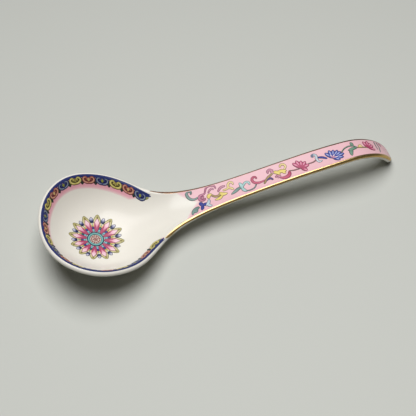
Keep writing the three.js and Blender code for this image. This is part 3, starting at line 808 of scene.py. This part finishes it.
PETAL_ROSE = srgb((172, 54, 94))
BUD_BLUE = [srgb((20, 26, 72)), srgb((40, 46, 102)), srgb((176, 178, 206)), srgb((222, 220, 228))]
BUD_LINE = srgb((34, 36, 82))
STEM_GREEN = srgb((74, 98, 50))
BUD_YELLOW = srgb((214, 192, 70))
BASE_BLUE = srgb((116, 176, 190))
BASE_LINE = srgb((36, 84, 102))
BASE_EYES = [srgb((52, 62, 150)), srgb((40, 104, 112)), srgb((92, 52, 134))]
EYE_LINE = srgb((22, 28, 66))
SEED_PALE = srgb((224, 200, 188))
SEED_BROWN = srgb((160, 92, 84))
SEED_LINE = srgb((104, 56, 46))


def on_floor(points, lift):
    """A place on the bowl's floor by its plan position from the flower's centre, in millimetres."""
    aim = (points * ROSETTE_SIZE + ROSETTE_SHIFT) * MM
    aim_x = keel(FLOOR_CENTRE)[0] - foot_x + aim[:, 0]
    aim_y = np.abs(aim[:, 1])
    radius = np.maximum(np.hypot(*aim.T), LEAST_RADIUS * MM)
    t = mix(*FIRST_GUESS, np.arctan2(aim_y, -aim[:, 0]) / np.pi)
    v = radius / BOWL_HALF_WIDTH
    for _ in range(NEWTON_ROUNDS):
        here = top(t, v)
        by_t = (top(t + NEWTON_STEP, v) - here) / NEWTON_STEP
        by_v = (top(t, v + NEWTON_STEP) - here) / NEWTON_STEP
        off_x = aim_x - here[:, 0]
        off_y = aim_y - here[:, 1]
        turn = by_t[:, 0] * by_v[:, 1] - by_t[:, 1] * by_v[:, 0]
        t = np.clip(t + (off_x * by_v[:, 1] - off_y * by_v[:, 0]) / turn, NEWTON_STEP, 1)
        v = np.clip(v + (by_t[:, 0] * off_y - by_t[:, 1] * off_x) / turn, NEWTON_STEP, 1)
    return lifted(np.where(aim[:, 1] < 0, -t, t), v, lift * MM)


def turned(points, angle):
    """Points of the flower drawn along its first axis, turned round its centre. Petals that point to
    the handle are drawn longer than those that point to the lip."""
    points = np.array(points, float)
    points[:, 0] += PETALS_LEAN * math.cos(angle) * np.maximum(points[:, 0] - PETALS_START, 0)
    c, s = math.cos(angle), math.sin(angle)
    return points @ np.array([[c, s], [-s, c]])


bm = painted_mesh()
for k in range(PETAL_COUNT):
    angle = FIRST_PETAL + 2 * math.pi * k / PETAL_COUNT
    petal = turned(OUTER_PETAL, angle)
    outlined(bm, on_floor, petal, OUTER_HALVES, OLIVE_LINE, OLIVE_TIP, ROSETTE_LEVEL)
    dab = turned(TIP_DAB, angle)
    stroke(bm, on_floor, dab, TIP_DAB_HALVES, OLIVE_LINE, ROSETTE_LEVEL + 2 * BEAD_RELIEF)
for k in range(PETAL_COUNT):
    angle = FIRST_PETAL + 2 * math.pi * k / PETAL_COUNT
    level = ROSETTE_LEVEL + 2 * BEAD_RELIEF
    outlined(bm, on_floor, turned(INNER_PETAL, angle), INNER_HALVES, ROSE_LINE, PETAL_PALE, level)
    for side in (-1, 1):
        flank = turned(np.array(PETAL_SIDE) * (1, side), angle)
        stroke(bm, on_floor, flank, PETAL_SIDE_HALVES, PETAL_ROSE, level + 2 * BEAD_RELIEF)
    angle += math.pi / PETAL_COUNT
    stroke(bm, on_floor, turned(BUD_STEM, angle), STEM_HALVES, STEM_GREEN, level)
    for side in (-1, 1):
        leaf = turned(np.array(BUD_LEAF) * (1, side), angle)
        stroke(bm, on_floor, leaf, BUD_LEAF_HALVES, BUD_YELLOW, level)
    outlined(bm, on_floor, turned(BUD, angle), BUD_HALVES, BUD_LINE, BUD_BLUE, level)
    outlined(bm, on_floor, turned(BASE_DAB, angle), BASE_DAB_HALVES, BASE_LINE, BASE_BLUE, level)
    eye = BASE_EYES[k % len(BASE_EYES)]
    outlined(bm, on_floor, turned(BASE_EYE, angle), BASE_EYE_HALVES, EYE_LINE, eye, level + BEAD_RELIEF)
place_enamel(bm, "lotus_petals", ["rosette_petals"], enamel)

ring_angles = np.linspace(0, 2 * math.pi, RING_POINTS)
ring_way = np.stack([np.cos(ring_angles), np.sin(ring_angles)], axis=1)
bm = painted_mesh()
for radius, half, colour in RING_LINES:
    stroke(bm, on_floor, radius * ring_way, (half, half), colour, RING_LEVEL, RING_ROWS)
place_enamel(bm, "lotus_ring", ["rosette_ring"], enamel)

bm = painted_mesh()
disc = [(-SEED_DISC, 0), (0, 0), (SEED_DISC, 0)]
stroke(bm, on_floor, disc, (SEED_DISC, SEED_DISC), SEED_PALE, ROSETTE_LEVEL,
       rows=SEED_DISC_STEPS, sides=SEED_DISC_STEPS)
for radius, count, bead in SEED_RINGS:
    for k in range(count):
        middle = turned([(radius, 0)], 2 * math.pi * k / count)
        line = middle + np.array([(-bead, 0), (0, 0), (bead, 0)])
        level = ROSETTE_LEVEL + BEAD_RELIEF
        outlined(bm, on_floor, line, (bead, bead), SEED_LINE, SEED_BROWN, level, BEAD_LINE, BEAD_ROWS)
place_enamel(bm, "lotus_seed_head", ["rosette_seed_head"], enamel)


# Pink ground of the handle. The handle's top is laid in with an even pink enamel, which starts behind
# the neck in a soft swallow tail, goes a little way round both edges under the gilding, and runs to
# the tip.
GROUND_START = 9.4
GROUND_NOTCH = 8.5
GROUND_ROUND = math.radians(16)
GROUND_ROUND_STEPS = 3
GROUND_SOFT_ROWS = 5
GROUND_SOFT = 3.6
GROUND_LEVEL = 0.025
GROUND_ROWS = 220
GROUND_COLUMNS = 25
STATION_TABLE_FROM = 0.3
STATION_TABLE_POINTS = 1401
GROUND_PINK = srgb((233, 187, 194))
t_table = np.linspace(STATION_TABLE_FROM, 1, STATION_TABLE_POINTS)
edge_table = np.interp(t_table, plan_t, plan[0])


def ground_start(share):
    """Station at which a lengthwise line of the ground begins."""
    inner = np.minimum(np.abs(share), 1)
    first = NECK + (GROUND_START + GROUND_NOTCH * (1 - inner)) * MM
    return np.array([np.interp(run, mix(keel_run(edge_table), edge_table, v), t_table)
                     for run, v in zip(first, inner)])


round_shares = np.linspace(1, 2, GROUND_ROUND_STEPS + 1)[1:]
ground_shares = np.r_[-round_shares[::-1], np.linspace(-1, 1, GROUND_COLUMNS), round_shares]
ground_from = ground_start(ground_shares)


def ground_station(f):
    return mix(ground_from[None, :], 1, f)


def ground_place(f, g, lift):
    station = np.where(ground_shares < 0, -1, 1) * ground_station(f)
    on_top = lifted(station, np.minimum(np.abs(ground_shares), 1) + 0 * f, lift * MM)
    past_edge = np.abs(ground_shares) - 1
    on_edge = round_edge(station, np.maximum(past_edge, 0) * GROUND_ROUND + 0 * f, lift * MM)
    return np.where((past_edge > 0)[:, None], on_edge, on_top)


def ground_colour(f, g):
    laid = (ground_station(f) - ground_from) * plan_length / (GROUND_SOFT * MM)
    return mix(CHINA, GROUND_PINK, smooth(laid)[..., None])


bm = painted_mesh()
wash(bm, ground_place, ground_colour, GROUND_ROWS, len(ground_shares), GROUND_LEVEL,
     soft_rows=GROUND_SOFT_ROWS, last_row_sunk=False)
place_enamel(bm, "pink_ground", ["handle_pink_ground"], pink_wash)


# Lotus scroll. Flowers, curled leaves and stems wander along the pink ground from the bowl to the
# tip, each outlined with a fine brush and filled with enamel that pales along the stroke. They are
# drawn in millimetres behind the neck and across the handle, + to its far side.
SCROLL_LEVEL = 0.06
SCROLL_LINE = 0.26
PLACE_ROUNDS = 24
CURL = (0.3, 0.5, 0.62, 0.66, 0.6, 0.42, 0.2)
LEAF = (0.25, 0.65, 0.85, 0.6, 0.1)
FAT_LEAF = (0.45, 0.9, 1.0, 0.7, 0.15)
STROKE = (0.35, 0.52, 0.52, 0.25)
FINE = (0.2, 0.34, 0.4, 0.34, 0.2)
STEM = (0.14, 0.2, 0.14)
PETAL = (0.4, 0.8, 1.0, 1.0, 0.8, 0.3)
PETAL_STRIPE = (0.08, 0.26, 0.3, 0.1)
PETAL_WAY = (0, 0.5, 0.95)
STRIPE_WAY = (0.42, 0.65, 0.86)
SAGE = [srgb((54, 74, 72)), srgb((98, 130, 124)), srgb((134, 164, 156))]
GREEN = [srgb((54, 82, 68)), srgb((94, 134, 114)), srgb((128, 162, 142))]
PLUM = [srgb((120, 48, 84)), srgb((176, 88, 124)), srgb((202, 126, 154))]
ROSE = [srgb((132, 66, 92)), srgb((184, 112, 138)), srgb((206, 144, 164))]
LEMON = [srgb((136, 110, 40)), srgb((222, 196, 74)), srgb((236, 216, 112))]
STRAW = [srgb((150, 120, 60)), srgb((222, 196, 114)), srgb((236, 216, 150))]
ROYAL = [srgb((16, 22, 84)), srgb((28, 40, 132)), srgb((46, 62, 160))]
AQUA = [srgb((74, 112, 112)), srgb((148, 192, 190)), srgb((180, 214, 212))]
ICE = [srgb((84, 100, 118)), srgb((170, 188, 198)), srgb((206, 218, 224))]
CRIMSON = [srgb((124, 24, 62)), srgb((178, 46, 86)), srgb((206, 92, 124))]
OLIVE = [srgb((106, 84, 52)), srgb((160, 132, 76)), srgb((178, 152, 96))]
BROWN = [srgb((122, 84, 82)), srgb((134, 96, 92)), srgb((134, 96, 92))]
INDIGO = [srgb((38, 28, 70)), srgb((64, 50, 108)), srgb((84, 68, 130))]
SLATE = [srgb((36, 44, 80)), srgb((62, 74, 116)), srgb((92, 106, 140))]
LOTUS_PINK = [srgb((116, 16, 56)), srgb((164, 38, 84)), srgb((202, 80, 124)), srgb((234, 166, 188))]
LOTUS_BLUE = [srgb((18, 24, 88)), srgb((36, 50, 142)), srgb((62, 80, 172)), srgb((176, 186, 224))]
LOTUS_MAUVE = [srgb((104, 40, 84)), srgb((168, 96, 136)), srgb((220, 184, 204)), srgb((238, 222, 230))]


def on_handle(points, lift):
    """A place on the handle's top by length behind the neck and distance across, in millimetres."""
    run = NECK + points[:, 0] * MM
    edge_run = run
    for _ in range(PLACE_ROUNDS):
        v = np.minimum(np.abs(points[:, 1]) * MM / np.interp(edge_run, plan[0], plan[1]), 1)
        edge_run = run + (1 - v) * (edge_run - keel_run(edge_run))
    t = np.interp(edge_run, plan[0], plan_t)
    return lifted(np.where(points[:, 1] < 0, -t, t), v, lift * MM)


def lotus(base, colours, tips):
    """Strokes of a lotus seen from the side: petals that fan out from its base, each with a pale
    stripe."""
    *petal, pale = colours
    strokes = []
    for tip in tips:
        way = np.array(tip) - base
        ends = [tuple(base + way * f) for f in PETAL_WAY]
        stripe = [tuple(base + way * f) for f in STRIPE_WAY]
        strokes.append((PETAL, petal, *ends))
        strokes.append((PETAL_STRIPE, (None, pale, pale), *stripe))
    return strokes


SCROLL_PIECES = [
    ("leaf_green_root", "leaf_green", [
        (CURL, SAGE, (17.9, 5.9), (18.5, 7.1), (17.2, 8.1), (15.8, 7.2), (15.9, 4.9), (17.3, 2.8),
         (19.2, 2.1), (21.4, 2.7)),
        (FAT_LEAF, SAGE, (19.9, -3.7), (17.5, -4.4), (15.9, -5.5), (14.8, -7.4)),
        (LEAF, SAGE, (18.2, -4.4), (17.6, -5.6), (16.7, -6.6))]),
    ("scroll_plum", "plum", [
        (FINE, ROSE, (27.6, 3.0), (29.1, 4.5), (30.5, 4.9), (31.0, 4.0)),
        (CURL, PLUM, (25.0, 0.5), (23.9, -0.4), (22.3, 0), (21.6, 1.6), (22.5, 3.0), (24.3, 3.2),
         (26.0, 3.7)),
        (STROKE, PLUM, (24.5, 1.9), (23.5, 1.5), (23.7, 0.6)),
        (FINE, PLUM, (25.6, 3.4), (26.3, 4.9), (27.7, 6.7), (30.3, 6.9), (32.2, 5.8), (32.4, 4.2)),
        (STROKE, ROSE, (33.1, 1.7), (35.0, 3.5), (37.9, 3.8))]),
    ("trefoil_blue", "cobalt", [
        (LEAF, ICE, (26.6, -0.9), (26.2, -2.4), (25.2, -3.5), (23.8, -4.6)),
        (LEAF, ICE, (25.6, -3.2), (25.5, -4.9), (27, -5.7)),
        (LEAF, ROYAL, (21.9, -3.3), (21.5, -4.9), (20.7, -6.3)),
        (LEAF, ROYAL, (21.8, -3.2), (23.2, -3.3), (24.7, -2.7)),
        (FAT_LEAF, ROYAL, (21.1, -1), (21.6, -2.4), (22, -3.8))]),
    ("blossom_yellow_root", "cloud_yellow", [
        (STROKE, STRAW, (36, 1.3), (39.2, 1.8), (39.8, 3.8), (41, 4.8), (42.5, 4.3), (42.5, 2.8)),
        (STROKE, STRAW, (39.3, 1.8), (40.6, 1.1), (41.9, -0.3)),
        (STROKE, OLIVE, (28.5, 1.4), (31, -0.8), (33.3, -0.5), (33.8, 0.8)),
        (LEAF, LEMON, (35, -1.4), (32.2, -2.8), (29.9, -2.9)),
        (FAT_LEAF, LEMON, (33.6, 0.7), (35, -0.8), (37.7, -1.3)),
        (FAT_LEAF, LEMON, (26.7, -0.4), (27.4, 1.2), (29.2, 1.6))]),
    ("leaf_aqua", "aqua", [
        (STEM, SAGE, (47.6, -3.8), (50.6, -4.6), (53.3, -4), (54.9, -2.3)),
        (LEAF, SAGE, (47, -0.8), (44.6, -1), (42.6, -1.9), (39.7, -3)),
        (STROKE, AQUA, (46.6, -0.9), (48.2, 0.4), (49.6, 1.4), (51.3, 0.7), (51.2, -1)),
        (LEAF, AQUA, (46.5, -0.6), (47.2, -3), (48.5, -4.6)),
        (FAT_LEAF, AQUA, (46.8, -1.6), (46.7, 0.6), (46.2, 2.3))]),
    ("scroll_crimson", "crimson", [
        (STROKE, OLIVE, (59.3, -3.7), (62.2, -0.9), (66.5, 1.2)),
        (STROKE, INDIGO, (60.5, -2.4), (62.4, -1.6), (63.9, -1.8), (64.8, -3.1)),
        (CURL, ROSE, (63.6, 1.9), (63.7, 3.2), (65.1, 3.7), (66.3, 2.8), (65.7, 1.6), (67.7, 1.3)),
        (CURL, CRIMSON, (56.2, 1.2), (56, 2.5), (54.5, 2.7), (53.5, 1.3), (54.5, -1), (56.9, -1.9),
         (60.4, -1.6))]),
    ("blossom_yellow", "cloud_yellow", [
        (STROKE, ROSE, (66.7, -2.2), (68.2, -1.6), (69.3, -2.5), (67.8, -3)),
        (STROKE, STRAW, (71.3, 3.1), (72, 4.3), (73.7, 4.2), (74.5, 2.6), (73.1, 0.9)),
        (FAT_LEAF, CRIMSON, (75.4, -1.4), (74.7, -3.5), (71.8, -4.6), (68.9, -3.3)),
        (LEAF, LEMON, (71.2, 0.3), (72.3, -0.7), (73, -1.8)),
        (FAT_LEAF, LEMON, (68.6, 0.4), (71, 0.5), (74, -0.3)),
        (FAT_LEAF, LEMON, (66.8, 1.6), (68.6, 0.4), (69.7, -1.4))]),
    ("lotus_crimson", "crimson", [
        (STEM, BROWN, (75.3, -1.1), (78.3, -1.8), (82, -2))]
        + lotus((82.6, -2), LOTUS_PINK, [
            (78.8, 3), (85.3, -4.7), (87.6, -1.2), (81.2, 3.9), (86.3, 1.5), (83.9, 2.8)])),
    ("lotus_blue", "cobalt", [
        (STEM, BROWN, (87.5, -0.7), (90.2, -0.8), (92.9, 0.3)),
        (STROKE, ROYAL, (93.9, 1.2), (96.3, 0.4), (98.6, -1.2)),
        (CURL, ICE, (91.4, 2.4), (90.8, 3.3), (91.9, 3.9), (93.3, 2.8), (92.9, 0.7), (93.6, -1.7),
         (95.5, -1.5)),
        (FINE, SLATE, (91.5, 2.5), (90.8, 3.3), (91.9, 3.9), (93.2, 3))]
        + lotus((102, -2), LOTUS_BLUE, [
            (98.6, 2.6), (105.5, -4.6), (101.4, 3.6), (108.2, -3.4), (104, 3.1), (106.5, 2.2),
            (109.3, -1.1), (107.9, 0.7)])
        + lotus((101.6, -2), LOTUS_MAUVE, [(101.3, 1), (105.6, -2.1), (104, 0.3)])),
    ("leaf_green", "leaf_green", [
        (STEM, GREEN, (108.1, -0.1), (110.5, 1.7), (113.5, 2.4), (116.5, 1.8), (118.3, 0.5)),
        (STEM, OLIVE, (117.9, 0.5), (120.8, 0.2), (124.5, -0.1)),
        (LEAF, GREEN, (115.8, 2), (115.8, 3.3), (115.3, 4.5)),
        (FAT_LEAF, GREEN, (114.6, 0.2), (113.4, -1.8), (113, -4.2)),
        (LEAF, GREEN, (118, 0.5), (115, 0.2), (112.2, -0.2)),
        (LEAF, STRAW, (119.3, 0.4), (120.5, 1.3), (121.7, 0.5))]),
    ("lotus_crimson_tip", "crimson", [
        (STEM, SAGE, (132, 4.6), (132.5, 2.3), (133, -0.9)),
        (STEM, SAGE, (134.1, 3.8), (135.4, 1.1), (134.1, -2.8)),
        (FINE, ROSE, (135.9, 4.0), (137.2, 3.4), (138.1, 2.4))]
        + lotus((125.6, -0.3), LOTUS_PINK, [
            (123.3, 4), (130.4, -1.8), (126.3, 4.4), (130.1, 1.4), (128.3, 3)])),
]

for name, slot, strokes in SCROLL_PIECES:
    bm = painted_mesh()
    for halves, (outline, start, end), *line in strokes:
        if outline is None:
            stroke(bm, on_handle, line, halves, start, SCROLL_LEVEL + 2 * BEAD_RELIEF)
        else:
            outlined(bm, on_handle, line, halves, outline, [start, end], SCROLL_LEVEL, SCROLL_LINE)
    place_enamel(bm, f"{name}_enamel", [name], enamel)


# Gilt edge line. Liquid gold is brushed on the upper round of the handle's edge, from beside one end of
# the border round the tip to the other, and fired last, so it stands bright on the glaze. The band is
# thinner along the far side. Its colour carries painted light: it is painted palest on the crown of the
# edge and darker lower down its round, a painted highlight, and browner along the far side, a painted
# dark reflection of the room behind.
GILT_START = 86.8
GILT_NEAR_START = 85.6
GILT_RUN_IN = 4
GILT_NEAR_TURNS = (math.radians(11), math.radians(84))
GILT_FAR_TURNS = (math.radians(14), math.radians(76))
GILT_ROOT_TURN = math.radians(36)
GILT_ROOT_LENGTH = 14
GILT_TIP_TURN = math.radians(82)
GILT_LEVEL = 0.03
GILT_SIDES = 8
GILT_ROWS = 560
GILT_CHANGES_OVER = 2 * TIP_ROUNDING
GILT_TIP_LENGTH = 3 * TIP_ROUNDING
# Painted light in the gold's colour: the crown colour is a painted highlight and the far colour a
# painted dark reflection; the worn colour is the gilding's own wear.
GOLD_CROWN_PAINTED_HIGHLIGHT = srgb((218, 190, 134))
GOLD_LOW = srgb((206, 173, 106))
GOLD_LOW_FROM = 0.2
GOLD_LOW_FULL = 0.55
GOLD_WORN = srgb((152, 112, 58))
GOLD_FAR_PAINTED_REFLECTION = srgb((132, 100, 82))
WORN_GRAIN = 700
WORN_DETAIL = 5.0
WORN_SHARE = (-0.4, 0.7)
GOLD_GRAIN = 900
GOLD_ROUGHNESS = (0.22, 0.38)

gilding = shader("fired_gold", Metallic=1.0, IOR=1.5)
gold_laid = node(gilding, "ShaderNodeAttribute", attribute_name="paint")
gold_tone = node(gilding, "ShaderNodeMixRGB", Color2=GOLD_WORN)
link(gilding, gold_laid.outputs["Color"], gold_tone.inputs["Color1"])
worn = noise(gilding, WORN_GRAIN, WORN_DETAIL)
link(gilding, spread(gilding, worn, *WORN_SHARE), gold_tone.inputs["Fac"])
gold_surface = gilding.node_tree.nodes["Principled BSDF"]
link(gilding, gold_tone.outputs["Color"], gold_surface.inputs["Base Color"])
gold_gloss = spread(gilding, noise(gilding, GOLD_GRAIN), *GOLD_ROUGHNESS)
link(gilding, gold_gloss, gold_surface.inputs["Roughness"])

gilt_ends = np.array((GILT_START, GILT_NEAR_START)) * MM / plan_length
gilt_t = np.linspace(gilt_ends[0], 2 - gilt_ends[1], GILT_ROWS)
from_end = np.minimum(gilt_t - gilt_ends[0], 2 - gilt_ends[1] - gilt_t)[:, None] * plan_length / MM
gilt_full = np.sqrt(np.clip(from_end / GILT_RUN_IN, 0, 1))
gilt_far = smooth((1 - gilt_t) * plan_length / GILT_CHANGES_OVER + 0.5)[:, None]
gilt_near_tip = smooth(1 - np.abs(gilt_t - 1) * plan_length / GILT_TIP_LENGTH)[:, None]
gilt_root = GILT_ROOT_TURN * (1 - smooth(from_end / GILT_ROOT_LENGTH))
gilt_first = mix(GILT_NEAR_TURNS[0], GILT_FAR_TURNS[0], gilt_far) + gilt_root
gilt_last = mix(GILT_NEAR_TURNS[1], GILT_FAR_TURNS[1], gilt_far) + gilt_root
gilt_last = mix(gilt_last, GILT_TIP_TURN, gilt_near_tip)
gilt_last = mix(gilt_first, gilt_last, gilt_full)
gilt_turn = mix(gilt_first, gilt_last, np.linspace(0, 1, GILT_SIDES + 1))
gilt_rows = [round_edge(gilt_t[:, None] + 0 * gilt_turn, gilt_turn, lift * MM + 0 * gilt_turn)
             for lift in (GILT_LEVEL, -BEAD_SEAT)]
bm = painted_mesh()
# Painted highlight across the edge: paler gold on the crown, darker gold lower down the round.
gilt_across = np.linspace(0, 1, GILT_SIDES + 1)
gilt_low = smooth((gilt_across - GOLD_LOW_FROM) / (GOLD_LOW_FULL - GOLD_LOW_FROM))
gilt_low = np.r_[gilt_low, gilt_low[::-1], gilt_low[:1]][None, :, None]
# Painted dark reflection: the far side of the gilding is painted browner.
gilt_paint = mix(mix(GOLD_CROWN_PAINTED_HIGHLIGHT, GOLD_LOW, gilt_low), GOLD_FAR_PAINTED_REFLECTION, gilt_far[:, None])
lay(bm, np.concatenate([gilt_rows[0], gilt_rows[1][:, ::-1], gilt_rows[0][:, :1]], axis=1), gilt_paint)
place_enamel(bm, "gilt_line", ["gilt_edge_line"], gilding)
